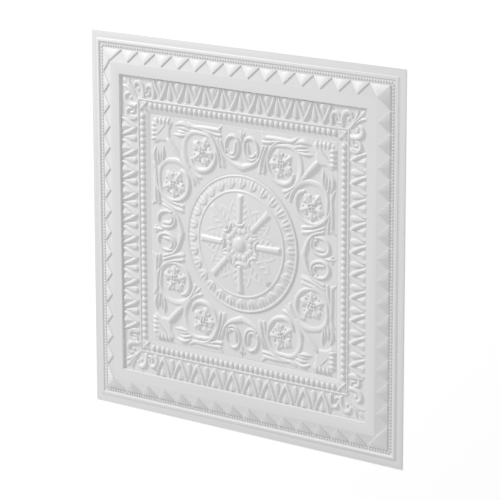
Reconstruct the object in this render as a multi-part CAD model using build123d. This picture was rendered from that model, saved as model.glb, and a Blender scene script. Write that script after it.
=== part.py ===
from build123d import *
import math
import os

# A white PVC ceiling tile, one sheet formed over a mould into a framed relief.
# Millimetres, lying face up: the origin is the middle of the tile, the underside of its
# flat edge is on z = 0. Every height below is that of the front (upper) surface.

# The sheet and the flat edge that rests on the ceiling grid
TILE_SIDE = 603.0
SHEET = 0.75
FLANGE_WIDTH = 10.5

# Widths of the steps of the frame, from the flat edge inward
OVOLO_WIDTH = 7.2
GROOVE_WIDTH = 7.6
SLOPE_WIDTH = 20.2
PLAIN_WIDTH = 17.6
STEP_WIDTH = 1.1
BAND_WIDTH = 32.8
RAIL_WIDTH = 3.9
CHANNEL_WIDTH = 12.2
RAMP_WIDTH = 7.6

# The rope of beads in the channel, as a plain rounded rib
ROPE_WIDTH = 8.8
ROPE_RELIEF = 2.8

# Heights of the steps
OVOLO_HEIGHT = 3.2
GROOVE_HEIGHT = 1.3
PLAIN_HEIGHT = 9.3
BAND_HEIGHT = 5.0
RAIL_HEIGHT = 6.3
CHANNEL_HEIGHT = 4.6
FIELD_HEIGHT = 2.0

# The raised teeth on the slope, between one corner tooth and the next
TOOTH_SPACES = 15
TOOTH_RISE = 2.8
TOOTH_TIP_CLEAR = 5.0
TOOTH_FOOT_CLEAR = 2.0

# The band of V leaves, each with a dart in it, and the tongues between them
LEAF_COUNT = 10
CORNER_BLOCK = 63.15
LEAF_RELIEF = 3.2
DART_RELIEF = 2.9
TONGUE_RELIEF = 2.6
RIB_WIDTH = 5.6

# The medallion, turned about the tile's own axis
RING_RISE = 2.3
INNER_RING_RISE = 4.6
DOME_EDGE_RISE = 3.5
DOME_RISE = 7.0
BOSS_RISE = 10.7
BOSS_RADIUS = 11.5
RING_LEAVES = 28
RING_LEAF_RISE = 1.5

# The star of ridged arms on the dome
ARM_COUNT = 8
ARM_WIDTH = 11.0
ARM_RISE_IN = 3.0
ARM_RISE_OUT = 2.6

# The scrollwork of the field
SCROLL_SIDES = 24
SCROLL_WIDTH = 9.0
SCROLL_RELIEF = 3.0
STEM_RELIEF = 2.7
PETAL_RELIEF = 2.4
PETAL_COUNT = 5
VOLUTE_RELIEF = 2.6
HOOK_RELIEF = 3.0

# Distances from the middle of the tile to each step of the frame
HALF_SIDE = TILE_SIDE / 2
OVOLO_OUT = HALF_SIDE - FLANGE_WIDTH
GROOVE_OUT = OVOLO_OUT - OVOLO_WIDTH
GROOVE_IN = GROOVE_OUT - GROOVE_WIDTH
PLAIN_OUT = GROOVE_IN - SLOPE_WIDTH
PLAIN_IN = PLAIN_OUT - PLAIN_WIDTH
BAND_OUT = PLAIN_IN - STEP_WIDTH
BAND_IN = BAND_OUT - BAND_WIDTH
CHANNEL_OUT = BAND_IN - RAIL_WIDTH
CHANNEL_IN = CHANNEL_OUT - CHANNEL_WIDTH
FIELD_HALF = CHANNEL_IN - RAMP_WIDTH
ROPE_MIDDLE = (CHANNEL_OUT + CHANNEL_IN) / 2
LEAF_END = BAND_OUT - CORNER_BLOCK

# The ornament of a corner of the band is laid out in hundredths of the band's width
BAND_UNIT = BAND_WIDTH / 100

# The ornament of the field is laid out in hundredths of half the field's width
UNIT = FIELD_HALF / 100
FIELD_JOIN = 99 * UNIT
MEDALLION_EDGE = 59.5 * UNIT
MEDALLION_RING = 58.4 * UNIT
INNER_RING = 45.5 * UNIT
DOME_EDGE = 44.2 * UNIT
SCROLL_RADIUS = 16.7 * UNIT
SCROLL_NEAR = 44.9 * UNIT
SCROLL_FAR = 74.9 * UNIT


def crossing(a, b, c, d):
    """Where the straight line a-b meets the straight line c-d."""
    ux, uy = b[0] - a[0], b[1] - a[1]
    vx, vy = d[0] - c[0], d[1] - c[1]
    turn = ux * vy - uy * vx
    if abs(turn) < 1e-9:
        return c
    along = ((c[0] - a[0]) * vy - (c[1] - a[1]) * vx) / turn
    return (a[0] + ux * along, a[1] + uy * along)


def beside(start, end, distance):
    """The line from start to end, moved `distance` to its left."""
    length = math.dist(start, end)
    dx = -(end[1] - start[1]) / length * distance
    dy = (end[0] - start[0]) / length * distance
    return (start[0] + dx, start[1] + dy), (end[0] + dx, end[1] + dy)


def below(points, distance):
    """The profile line that runs `distance` under another, square to each of its pieces."""
    pieces = [beside(a, b, -distance) for a, b in zip(points, points[1:])]
    corners = [crossing(*p, *q) for p, q in zip(pieces, pieces[1:])]
    return [pieces[0][0]] + corners + [pieces[-1][1]]


def inset(outline, distance):
    """An outline drawn anticlockwise, moved inward by `distance` with sharp corners."""
    ends = outline[1:] + outline[:1]
    sides = [beside(a, b, distance) for a, b in zip(outline, ends)]
    return [crossing(*sides[i - 1], *sides[i]) for i in range(len(sides))]


def anticlockwise(outline):
    area = 0.0
    for (x0, y0), (x1, y1) in zip(outline, outline[1:] + outline[:1]):
        area += x0 * y1 - x1 * y0
    return outline if area > 0 else outline[::-1]


def polyhedron(corners, faces):
    """A solid from its corners and the corner numbers round each flat face."""
    sheets = [Face(Wire.make_polygon([corners[i] for i in f], close=True)) for f in faces]
    return Solid(Shell(sheets))


def frustum(outline, low, high, lean):
    """A block: `outline` at height `low`, drawn in by `lean` at height `high`."""
    top = inset(outline, lean)
    count = len(outline)
    corners = [(x, y, low) for x, y in outline] + [(x, y, high) for x, y in top]
    faces = [list(range(count))[::-1], list(range(count, 2 * count))]
    for i in range(count):
        j = (i + 1) % count
        faces.append([i, j, count + j, count + i])
    return polyhedron(corners, faces)


def block_pair(outline, relief, lean, ground, half_width=0.0):
    """A flat-topped block and the hollow behind it, as a formed sheet has them.

    `outline` is the foot of the block on a floor at height `ground`, and `half_width` is
    half of its least width. A block that is too small to be hollow is given none.
    """
    outline = anticlockwise(outline)
    grade = lean / relief
    sink = SHEET / 2
    foot = inset(outline, -grade * sink)
    front = frustum(foot, ground - sink, ground + relief, lean + grade * sink)
    if not half_width:
        return front, None
    under = ground - 2 * SHEET
    reach = SHEET * math.hypot(1, grade) + grade * (under - ground)
    top = min(ground + relief - SHEET, under + (half_width - reach - 0.1) / grade)
    return front, frustum(inset(outline, reach), under, top, grade * (top - under))


def ridge_pair(front):
    """A ridged shape and the hollow behind it, which is the same shape set lower."""
    return front, Pos(0, 0, -1.2 * SHEET) * front


def turned(pair, angle):
    return [shape and shape.rotate(Axis.Z, angle) for shape in pair]


def formed(sheet, pairs):
    """The sheet with every raised shape added and every hollow taken out behind it."""
    raised = sheet.fuse(*[front for front, _ in pairs])
    return raised.cut(*[hollow for _, hollow in pairs if hollow])


def frame_line():
    """The front of the sheet from the field out to the edge, as (distance, height)."""
    return [
        (FIELD_JOIN, FIELD_HEIGHT),
        (FIELD_HALF, FIELD_HEIGHT),
        (CHANNEL_IN, CHANNEL_HEIGHT),
        (ROPE_MIDDLE - 0.5 * ROPE_WIDTH, CHANNEL_HEIGHT),
        (ROPE_MIDDLE - 0.3 * ROPE_WIDTH, CHANNEL_HEIGHT + 0.75 * ROPE_RELIEF),
        (ROPE_MIDDLE, CHANNEL_HEIGHT + ROPE_RELIEF),
        (ROPE_MIDDLE + 0.3 * ROPE_WIDTH, CHANNEL_HEIGHT + 0.75 * ROPE_RELIEF),
        (ROPE_MIDDLE + 0.5 * ROPE_WIDTH, CHANNEL_HEIGHT),
        (CHANNEL_OUT, CHANNEL_HEIGHT),
        (CHANNEL_OUT + 0.23 * RAIL_WIDTH, RAIL_HEIGHT - 0.3),
        (CHANNEL_OUT + 0.49 * RAIL_WIDTH, RAIL_HEIGHT),
        (CHANNEL_OUT + 0.74 * RAIL_WIDTH, RAIL_HEIGHT - 0.3),
        (BAND_IN, BAND_HEIGHT),
        (BAND_OUT, BAND_HEIGHT),
        (PLAIN_IN, PLAIN_HEIGHT),
        (PLAIN_OUT, PLAIN_HEIGHT),
        (GROOVE_IN, GROOVE_HEIGHT),
        (GROOVE_OUT, GROOVE_HEIGHT),
        (GROOVE_OUT + 0.1 * OVOLO_WIDTH, OVOLO_HEIGHT - 0.6),
        (GROOVE_OUT + 0.22 * OVOLO_WIDTH, OVOLO_HEIGHT),
        (GROOVE_OUT + 0.4 * OVOLO_WIDTH, OVOLO_HEIGHT),
        (GROOVE_OUT + 0.6 * OVOLO_WIDTH, OVOLO_HEIGHT - 0.5),
        (GROOVE_OUT + 0.83 * OVOLO_WIDTH, SHEET + 0.8),
        (OVOLO_OUT, SHEET),
        (HALF_SIDE, SHEET),
    ]


def section(front):
    """The cut face of the sheet under a front line, in the XZ plane."""
    outline = front + below(front, SHEET)[::-1]
    return Face(Wire.make_polygon([(x, 0, z) for x, z in outline], close=True))


def frame_side():
    """One side of the frame, on the +X side, mitred along the tile's diagonals."""
    bar = extrude(section(frame_line()), amount=HALF_SIDE + 10, dir=(0, 1, 0), both=True)
    reach = HALF_SIDE + 1
    quarter = Wire.make_polygon([(0, 0, -5), (reach, -reach, -5), (reach, reach, -5)], close=True)
    return bar & extrude(Face(quarter), amount=30, dir=(0, 0, 1))


def slope_height(distance):
    grade = (PLAIN_HEIGHT - GROOVE_HEIGHT) / SLOPE_WIDTH
    return GROOVE_HEIGHT + grade * (GROOVE_IN - distance)


def point_on_slope(left, right, foot, tip):
    """A three-sided point: its base edge low on the slope, its tip raised over its foot."""
    corners = [(x, y, slope_height(x) - SHEET / 2) for x, y in (left, right, foot)]
    corners.append((*tip, slope_height(tip[0]) + TOOTH_RISE))
    return polyhedron(corners, [[0, 2, 1], [0, 1, 3], [1, 2, 3], [2, 0, 3]])


def teeth():
    """The teeth of one side, with the half of each corner tooth that lies on it."""
    base = GROOVE_IN - 0.4
    foot = PLAIN_OUT + TOOTH_FOOT_CLEAR
    tip = PLAIN_OUT + TOOTH_TIP_CLEAR
    pitch = 2 * (PLAIN_OUT - 1) / TOOTH_SPACES
    half = pitch / 2 - 0.3
    shapes = []
    for k in range(1, TOOTH_SPACES):
        y = (k - TOOTH_SPACES / 2) * pitch
        shapes.append(point_on_slope((base, y - half), (base, y + half), (foot, y), (tip, y)))
    corner = PLAIN_OUT - 1 - half
    for s in (-1, 1):
        shapes.append(point_on_slope((base, s * corner), (base, s * base), (foot, s * foot), (tip, s * tip)))
    return [ridge_pair(shape) for shape in shapes]


def v_leaf(root, end, spread):
    """A leaf of two ridged arms that open outward from a point on the X axis."""
    foot, crest = BAND_HEIGHT - SHEET / 2, BAND_HEIGHT + LEAF_RELIEF
    arm = ((root, 0), (end, spread))
    outer, inner = beside(*arm, RIB_WIDTH / 2), beside(*arm, -RIB_WIDTH / 2)
    floor = ((0, 0), (1, 0))
    root_out, root_in = crossing(*outer, *floor), crossing(*inner, *floor)
    ridge = (end - 1.5, spread * (end - 1.5 - root) / (end - root))
    corners = [(*root_out, foot), (*root_in, foot), (root, 0, crest)]
    for s in (1, -1):
        corners += [(outer[1][0], s * outer[1][1], foot), (inner[1][0], s * inner[1][1], foot)]
        corners.append((ridge[0], s * ridge[1], crest))
    return polyhedron(corners, [
        [0, 6, 7, 1, 4, 3], [0, 3, 5, 2], [1, 2, 5, 4], [3, 4, 5], [0, 2, 8, 6], [1, 7, 8, 2], [6, 8, 7],
    ])


def wedge(near, far, wide_near, wide_far, relief):
    """A ridged leaf along +X with straight sides, its ridge level and open at both ends."""
    foot, crest = BAND_HEIGHT - SHEET / 2, BAND_HEIGHT + relief
    corners = [(near, -wide_near, foot), (near, wide_near, foot), (far, wide_far, foot),
               (far, -wide_far, foot), (near + 1, 0, crest), (far - 1, 0, crest)]
    return polyhedron(corners, [
        [3, 2, 1, 0], [0, 1, 4], [1, 2, 5], [1, 5, 4], [2, 3, 5], [3, 0, 4], [3, 4, 5],
    ])


def leaf_band():
    """The V leaves with their darts, and the tongues between them, along one side."""
    pitch = 2 * LEAF_END / LEAF_COUNT
    low, high = BAND_IN + 1.5, BAND_OUT - 4.0
    leaf = v_leaf(low + 4, high, 0.42 * pitch)
    dart = wedge(low + 0.42 * (high - low), high + 1.5, 1.1, 0.18 * pitch, DART_RELIEF)
    tongue = wedge(low, high - 4, 0.13 * pitch, 1.1, TONGUE_RELIEF)
    pairs = []
    for k in range(LEAF_COUNT):
        place = Pos(0, (k - (LEAF_COUNT - 1) / 2) * pitch, 0)
        pairs.append(ridge_pair(place * leaf))
        pairs.append((place * dart, None))
    for k in range(1, LEAF_COUNT):
        pairs.append((Pos(0, (k - LEAF_COUNT / 2) * pitch, 0) * tongue, None))
    return pairs


def corner_hooks():
    """The large and the small open scroll at both ends of a side's leaf band."""
    large = [(4.6, 40.7), (41.2, 39.2), (74.7, 51.4), (87.5, 78.8), (79.3, 109.3), (50.3, 118.4),
             (50.3, 99.5), (65.5, 86.4), (53.4, 65.1), (4.6, 62.0)]
    small = [(4.6, -11.1), (53.4, -15.7), (74.7, 2.6), (73.5, 23.9), (51.8, 33.7), (44.2, 17.8),
             (53.4, 5.6), (4.6, 8.7)]
    pairs = []
    for outline in (large, small):
        for s in (-1, 1):
            shape = [(BAND_IN + x * BAND_UNIT, s * (LEAF_END + y * BAND_UNIT)) for x, y in outline]
            pairs.append(block_pair(shape, HOOK_RELIEF, 1.4, BAND_HEIGHT))
    return pairs


def calyx():
    """The ridged leaf that opens on the diagonal between two large scrolls."""
    kite = [(4.6, 4.6), (87.8, 45.1), (66.5, 66.5), (45.1, 87.8)]
    foot, crest = BAND_HEIGHT - SHEET / 2, BAND_HEIGHT + HOOK_RELIEF
    corners = [(BAND_IN + x * BAND_UNIT, BAND_IN + y * BAND_UNIT, foot) for x, y in kite]
    peak = BAND_IN + 51.2 * BAND_UNIT
    return polyhedron(corners + [(peak, peak, crest)],
                      [[3, 2, 1, 0], [0, 1, 4], [1, 2, 4], [2, 3, 4], [3, 0, 4]])


def medallion_line():
    """The front of the medallion from its middle outward, as (radius, height)."""
    rises = [
        (0.0, BOSS_RISE),
        (0.26 * BOSS_RADIUS, BOSS_RISE),
        (0.7 * BOSS_RADIUS, BOSS_RISE - 1.5),
        (BOSS_RADIUS, DOME_RISE),
        (DOME_EDGE, DOME_EDGE_RISE),
        (INNER_RING, INNER_RING_RISE),
        (INNER_RING + 3.5, DOME_EDGE_RISE),
        (MEDALLION_RING - 2.4, 0.9),
        (MEDALLION_RING, RING_RISE),
        (MEDALLION_EDGE, 0.0),
        (MEDALLION_EDGE + 2.5, 0.0),
    ]
    return [(r, FIELD_HEIGHT + rise) for r, rise in rises]


def star_arm():
    """One arm of the star, a long roof along +X over the slope of the dome."""
    near, far = BOSS_RADIUS + 16, DOME_EDGE - 2.0
    grade = (DOME_RISE - DOME_EDGE_RISE) / (DOME_EDGE - BOSS_RADIUS)
    stations = [
        (near, near + 3, ARM_WIDTH / 2, ARM_RISE_IN),
        (far, far - 3, ARM_WIDTH / 2 - 0.5, ARM_RISE_OUT),
    ]
    corners = []
    for foot_x, crest_x, wide, lift in stations:
        dome = FIELD_HEIGHT + DOME_EDGE_RISE + grade * (DOME_EDGE - foot_x)
        foot = dome - SHEET / 2
        corners += [(foot_x, -wide, foot), (foot_x, wide, foot), (crest_x, 0, dome + lift)]
    return polyhedron(corners, [
        [0, 1, 2], [3, 5, 4], [0, 3, 4, 1], [0, 2, 5], [0, 5, 3], [1, 4, 5], [1, 5, 2],
    ])


def pyramid(near, wide, far, half, foot, rise):
    """A low pyramid on a kite that points along +X, its foot at a height given for each x."""
    corners = [(near, 0, foot(near)), (wide, half, foot(wide)), (far, 0, foot(far)),
               (wide, -half, foot(wide)), (wide, 0, foot(wide) + SHEET / 2 + rise)]
    return polyhedron(corners, [[3, 2, 1, 0], [0, 1, 4], [1, 2, 4], [2, 3, 4], [3, 0, 4]])


def ring_leaf():
    """One leaf of the ring that falls away outside the dome, along +X."""
    line = medallion_line()
    (near, top), (far, bottom) = line[6], line[7]
    grade = (top - bottom) / (far - near)
    middle = (near + far) / 2
    half = 0.86 * math.pi / RING_LEAVES * middle
    return pyramid(near + 0.8, middle, far - 0.8, half, lambda x: top - grade * (x - near) - SHEET / 2,
                   RING_LEAF_RISE)


def medallion():
    disc = revolve(section(medallion_line()), Axis.Z, 360)
    arm = ridge_pair(star_arm())
    leaf = (ring_leaf(), None)
    pairs = [turned(arm, k * 360 / ARM_COUNT) for k in range(ARM_COUNT)]
    return formed(disc, pairs + [turned(leaf, k * 360 / RING_LEAVES) for k in range(RING_LEAVES)])


def scroll():
    """A raised ring of ridged section, one of the field's round scrolls, with flat facets."""
    foot, crest = FIELD_HEIGHT - SHEET / 2, FIELD_HEIGHT + SCROLL_RELIEF
    line = [(SCROLL_RADIUS - SCROLL_WIDTH / 2, foot), (SCROLL_RADIUS + SCROLL_WIDTH / 2, foot),
            (SCROLL_RADIUS, crest)]
    corners = []
    for i in range(SCROLL_SIDES):
        angle = 2 * math.pi * i / SCROLL_SIDES
        corners += [(r * math.cos(angle), r * math.sin(angle), z) for r, z in line]
    faces = []
    for i in range(SCROLL_SIDES):
        here, there = 3 * i, 3 * ((i + 1) % SCROLL_SIDES)
        for p, q in ((0, 1), (1, 2), (2, 0)):
            faces.append([here + p, there + p, there + q, here + q])
    return polyhedron(corners, faces)


def petal():
    """One pointed petal of the rosette in a scroll, along +X from the scroll's middle."""
    length = SCROLL_RADIUS - SCROLL_WIDTH / 2 - 2.0
    return pyramid(0.08 * length, 0.48 * length, length, 0.24 * length,
                   lambda x: FIELD_HEIGHT - SHEET / 2, PETAL_RELIEF)


def in_units(points):
    return [(x * UNIT, y * UNIT) for x, y in points]


def across_middle(points):
    """The outline on both sides of the Y axis, from its half on the +X side."""
    return points + [(-x, y) for x, y in reversed(points) if x > 0]


def across_diagonal(points):
    """The outline on both sides of the tile's diagonal, from its half above it."""
    return points + [(y, x) for x, y in reversed(points) if x != y]


def field_outlines():
    """Outlines of the field's stems and leaves for one quarter, with their least half widths."""
    cradle = across_middle([
        (0, 64.4), (11.1, 67.5), (18.3, 72.5), (15.5, 65.3), (16.8, 62.3), (22.1, 62.3),
        (24.3, 74.7), (27.0, 85.5), (22.1, 87.4), (15.0, 75.9), (0, 69.7),
    ])
    fan = across_diagonal([
        (54.2, 54.2), (44.2, 49.2), (42.6, 53.1), (50.9, 55.9), (58.6, 61.9), (79.1, 82.4),
        (77.5, 96.8), (94.5, 96.8),
    ])
    bud = across_diagonal([(44.8, 44.8), (46.7, 49.2), (50.9, 50.9)])
    edge_leaf = [(20.5, 90.4), (36.5, 91.0), (53.1, 93.4), (57.0, 97.0), (20.5, 97.0)]
    edge_leaf_mirrored = [(y, x) for x, y in edge_leaf]
    return [(cradle, 2.4), (fan, 2.2), (bud, 0), (edge_leaf, 2.2), (edge_leaf_mirrored, 2.2)]


def volutes():
    """The pair of small open scrolls over the cradle."""
    ring = in_units([
        (17.1, 73.9), (6.1, 71.8), (1.2, 77.4), (1.2, 88.0), (6.0, 93.4), (14.0, 93.4), (18.8, 88.0),
        (18.8, 79.0), (15.0, 79.0), (14.2, 87.6), (10.0, 89.8), (5.8, 87.6), (5.2, 78.6), (7.7, 75.4),
        (15.5, 76.9),
    ])
    shapes = [[(s * x, y) for x, y in ring] for s in (-1, 1)]
    return [block_pair(shape, VOLUTE_RELIEF, 1.3, FIELD_HEIGHT) for shape in shapes]


def field():
    """The flat field with the scrollwork, open in the middle for the medallion."""
    side = 2 * FIELD_JOIN
    plate = Pos(0, 0, FIELD_HEIGHT - SHEET / 2) * Box(side, side, SHEET)
    plate -= Cylinder(MEDALLION_EDGE + 2.5, 40)
    pairs = []
    for x, y, first in ((SCROLL_NEAR, SCROLL_FAR, 180), (SCROLL_FAR, SCROLL_NEAR, 270)):
        pairs.append(ridge_pair(Pos(x, y, 0) * scroll()))
        for k in range(PETAL_COUNT):
            pairs.append((Pos(x, y, 0) * petal().rotate(Axis.Z, first + k * 360 / PETAL_COUNT), None))
    for outline, half_width in field_outlines():
        pairs.append(block_pair(in_units(outline), STEM_RELIEF, 1.5, FIELD_HEIGHT, half_width))
    pairs += volutes()
    return formed(plate, [turned(pair, 90 * k) for pair in pairs for k in range(4)])


def tile():
    side = formed(frame_side(), teeth() + leaf_band() + corner_hooks())
    sides = [side.rotate(Axis.Z, 90 * k) for k in range(4)]
    corners = [calyx().rotate(Axis.Z, 90 * k) for k in range(4)]
    return field().fuse(medallion(), *sides).fuse(*corners)


ceiling_tile = tile()
ceiling_tile.label = "ceiling_tile"
os.makedirs("parts", exist_ok=True)
export_step(ceiling_tile, "parts/ceiling_tile.step")
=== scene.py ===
import logging
import math
from collections.abc import Callable
from dataclasses import dataclass, field
from enum import Enum

import bmesh
import bpy
import numpy as np
from mathutils import Matrix, Vector

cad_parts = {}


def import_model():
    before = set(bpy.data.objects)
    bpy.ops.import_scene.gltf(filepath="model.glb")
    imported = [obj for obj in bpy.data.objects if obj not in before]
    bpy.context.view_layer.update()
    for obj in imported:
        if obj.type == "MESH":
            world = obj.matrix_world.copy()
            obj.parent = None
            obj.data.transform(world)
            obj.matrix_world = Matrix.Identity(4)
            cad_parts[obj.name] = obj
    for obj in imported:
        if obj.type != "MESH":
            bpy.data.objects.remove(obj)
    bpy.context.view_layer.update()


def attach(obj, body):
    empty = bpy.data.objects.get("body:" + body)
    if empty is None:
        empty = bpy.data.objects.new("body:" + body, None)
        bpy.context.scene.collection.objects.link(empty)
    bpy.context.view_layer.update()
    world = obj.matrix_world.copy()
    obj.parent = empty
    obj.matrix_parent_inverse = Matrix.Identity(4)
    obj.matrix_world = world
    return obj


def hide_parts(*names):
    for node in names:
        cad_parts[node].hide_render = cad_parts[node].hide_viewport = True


# The white formed PVC ceiling tile, face up on a pale floor.
# The tile's sizes are in millimetres, and settle() turns them into metres. The studio's
# are in metres. z = 0 is the underside of the flat edge, and heights are the front's.

MM = 0.001
NODE = "ceiling_tile"
BODY = "root"

Line = list[tuple[float, float]]
Work = bmesh.types.BMesh
Height = Callable[[np.ndarray, np.ndarray], np.ndarray]
Element = bmesh.types.BMVert | bmesh.types.BMEdge | bmesh.types.BMFace

log = logging.getLogger("tile")


class Crown(Enum):
    """How a raised shape rises from its foot to its crest."""

    ROUND = "round"
    ROOF = "roof"
    FLAT = "flat"


def crowned(share: np.ndarray, crown: Crown) -> np.ndarray:
    """Height across a raised shape.

    Args:
        share: How far a point is from the foot, 0, towards the crest, 1.
        crown: The form of the cross section.

    Returns:
        The height as a share of the full rise.
    """
    share = np.clip(share, 0.0, 1.0)
    if crown is Crown.ROOF:
        return share * (1.12 - 0.12 * share)
    steep = np.clip(share * (2.4 if crown is Crown.FLAT else 1.3), 0.0, 1.0)
    return steep * steep * (3 - 2 * steep)


@dataclass
class Rib:
    """A raised rib, stem or leaf that follows a smooth line.

    Each mark on the line is (x, y, half width, rise), or (x, y, width to the left of the
    line, width to its right, rise) where the two sides differ.
    """

    marks: list[tuple[float, ...]]
    crown: Crown = Crown.ROUND
    smooth: bool = True

    def line(self) -> list[tuple[float, ...]]:
        """Fill in the line between the marks with a curve through them.

        Returns:
            Points of the curve, each with both widths and the rise.
        """
        marks = [m if len(m) == 5 else (m[0], m[1], m[2], m[2], m[3]) for m in self.marks]
        if not self.smooth or len(marks) < 3:
            return marks
        ends = [marks[0]] + marks + [marks[-1]]
        points = []
        for a, b, c, d in zip(ends, ends[1:], ends[2:], ends[3:]):
            count = max(2, int(math.dist(b[:2], c[:2]) / 2.5))
            for i in range(count):
                t = i / count
                points.append(tuple(
                    0.5 * (2 * q + (r - p) * t + (2 * p - 5 * q + 4 * r - s) * t * t
                           + (3 * q - p - 3 * r + s) * t ** 3)
                    for p, q, r, s in zip(a, b, c, d)))
        return points + [marks[-1]]

    def over(self, x: np.ndarray, y: np.ndarray) -> np.ndarray:
        """Rise of the rib above its ground.

        Args:
            x: Places along X.
            y: Places along Y, of the same shape.

        Returns:
            The rise at each place, 0 away from the rib.
        """
        out = np.zeros_like(x)
        line = self.line()
        for a, b in zip(line, line[1:]):
            reach = max(a[2], a[3], b[2], b[3])
            near = ((x > min(a[0], b[0]) - reach) & (x < max(a[0], b[0]) + reach)
                    & (y > min(a[1], b[1]) - reach) & (y < max(a[1], b[1]) + reach))
            if not near.any():
                continue
            px, py = x[near] - a[0], y[near] - a[1]
            dx, dy = b[0] - a[0], b[1] - a[1]
            along = np.clip((px * dx + py * dy) / max(dx * dx + dy * dy, 1e-9), 0.0, 1.0)
            away = np.hypot(px - along * dx, py - along * dy)
            left = a[2] + (b[2] - a[2]) * along
            right = a[3] + (b[3] - a[3]) * along
            wide = np.where(dx * py - dy * px > 0, left, right)
            rise = (a[4] + (b[4] - a[4]) * along) * crowned(1 - away / np.maximum(wide, 0.05), self.crown)
            out[near] = np.maximum(out[near], rise)
        return out


@dataclass
class Scale:
    """A scale of the medallion's leaf ring, its round end turned to the middle."""

    tip: float = 85.4
    join: float = 94.6
    half_pitch: float = 10.3
    rise: float = 1.5

    def over(self, x: np.ndarray, y: np.ndarray) -> np.ndarray:
        """Rise of the scale at each place, lower towards the ring's rim.

        Args:
            x: Places along X.
            y: Places along Y.

        Returns:
            The rise at each place.
        """
        edge = self.tip + (self.join - self.tip) * (np.abs(x) / self.half_pitch) ** 1.7
        share = np.clip((y - edge) / 2.6, 0.0, 1.0)
        fade = np.clip((104.5 - y) / 12.0, 0.25, 1.0)
        return self.rise * fade * share * share * (3 - 2 * share)


@dataclass
class Dome:
    """A round raised button."""

    x: float
    y: float
    radius: float
    rise: float

    def over(self, x: np.ndarray, y: np.ndarray) -> np.ndarray:
        """Rise of the button at each place."""
        away = np.hypot(x - self.x, y - self.y) / self.radius
        return self.rise * np.sqrt(np.clip(1 - away * away, 0.0, 1.0))


@dataclass
class Plate:
    """A flat raised plate inside a convex or notched outline, with a sloping border."""

    outline: Line
    border: float
    rise: float

    def over(self, x: np.ndarray, y: np.ndarray) -> np.ndarray:
        """Rise of the plate at each place.

        Args:
            x: Places along X.
            y: Places along Y.

        Returns:
            The rise at each place.
        """
        inside = np.zeros(x.shape, dtype=bool)
        depth = np.full(x.shape, 1e9)
        ends = self.outline[1:] + self.outline[:1]
        for (ax, ay), (bx, by) in zip(self.outline, ends):
            dx, dy = bx - ax, by - ay
            along = np.clip(((x - ax) * dx + (y - ay) * dy) / (dx * dx + dy * dy), 0.0, 1.0)
            depth = np.minimum(depth, np.hypot(x - ax - along * dx, y - ay - along * dy))
            if dy:
                crosses = (ay > y) != (by > y)
                inside ^= crosses & (x < ax + (y - ay) * dx / dy)
        share = np.where(inside, depth / self.border, 0.0)
        share = np.clip(share, 0.0, 1.0)
        return self.rise * share * share * (3 - 2 * share)


Shape = Rib | Scale | Dome | Plate


def leaf(base: tuple[float, float], tip: tuple[float, float], half_width: float, rise: float,
         bend: float = 0.0, crown: Crown = Crown.ROUND) -> Rib:
    """A pointed leaf from its base to its tip.

    Args:
        base: Where the leaf starts.
        tip: Where it ends.
        half_width: Half of its width at the widest place.
        rise: Its height there.
        bend: How far its middle lies to the left of the straight line.
        crown: Its cross section.

    Returns:
        The leaf as a rib.
    """
    dx, dy = tip[0] - base[0], tip[1] - base[1]
    long = math.hypot(dx, dy)
    nx, ny = -dy / long, dx / long
    marks = []
    for t, wide, high in ((0.0, 0.45, 0.6), (0.35, 0.95, 0.95), (0.62, 0.9, 1.0), (1.0, 0.12, 0.25)):
        push = bend * 4 * t * (1 - t)
        marks.append((base[0] + dx * t + nx * push, base[1] + dy * t + ny * push,
                      half_width * wide, rise * high))
    return Rib(marks, crown)


def around(cx: float, cy: float, distance: float, angle: float) -> tuple[float, float]:
    """A point at a distance and an angle, in radians, from a centre."""
    return cx + distance * math.cos(angle), cy + distance * math.sin(angle)


def highest(shapes: list[Shape], x: np.ndarray, y: np.ndarray) -> np.ndarray:
    """The highest of several raised shapes at each place.

    Args:
        shapes: The raised shapes.
        x: Places along X.
        y: Places along Y.

    Returns:
        The rise at each place.
    """
    out = np.zeros_like(x)
    for shape in shapes:
        out = np.maximum(out, shape.over(x, y))
    return out


@dataclass(frozen=True)
class Steps:
    """Distances from the tile's middle to each step of the frame, and their heights."""

    half_side: float = 301.5
    sheet: float = 0.75
    ovolo_out: float = 291.0
    groove_out: float = 283.8
    groove_in: float = 276.2
    plain_out: float = 256.0
    plain_in: float = 238.4
    band_out: float = 237.3
    band_in: float = 204.5
    channel_out: float = 200.6
    channel_in: float = 188.4
    field_half: float = 180.8
    medallion: float = 108.0
    groove_height: float = 1.3
    plain_height: float = 9.3
    band_height: float = 5.0
    rail_height: float = 6.3
    channel_height: float = 4.6
    field_height: float = 2.0


STEPS = Steps()


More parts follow.
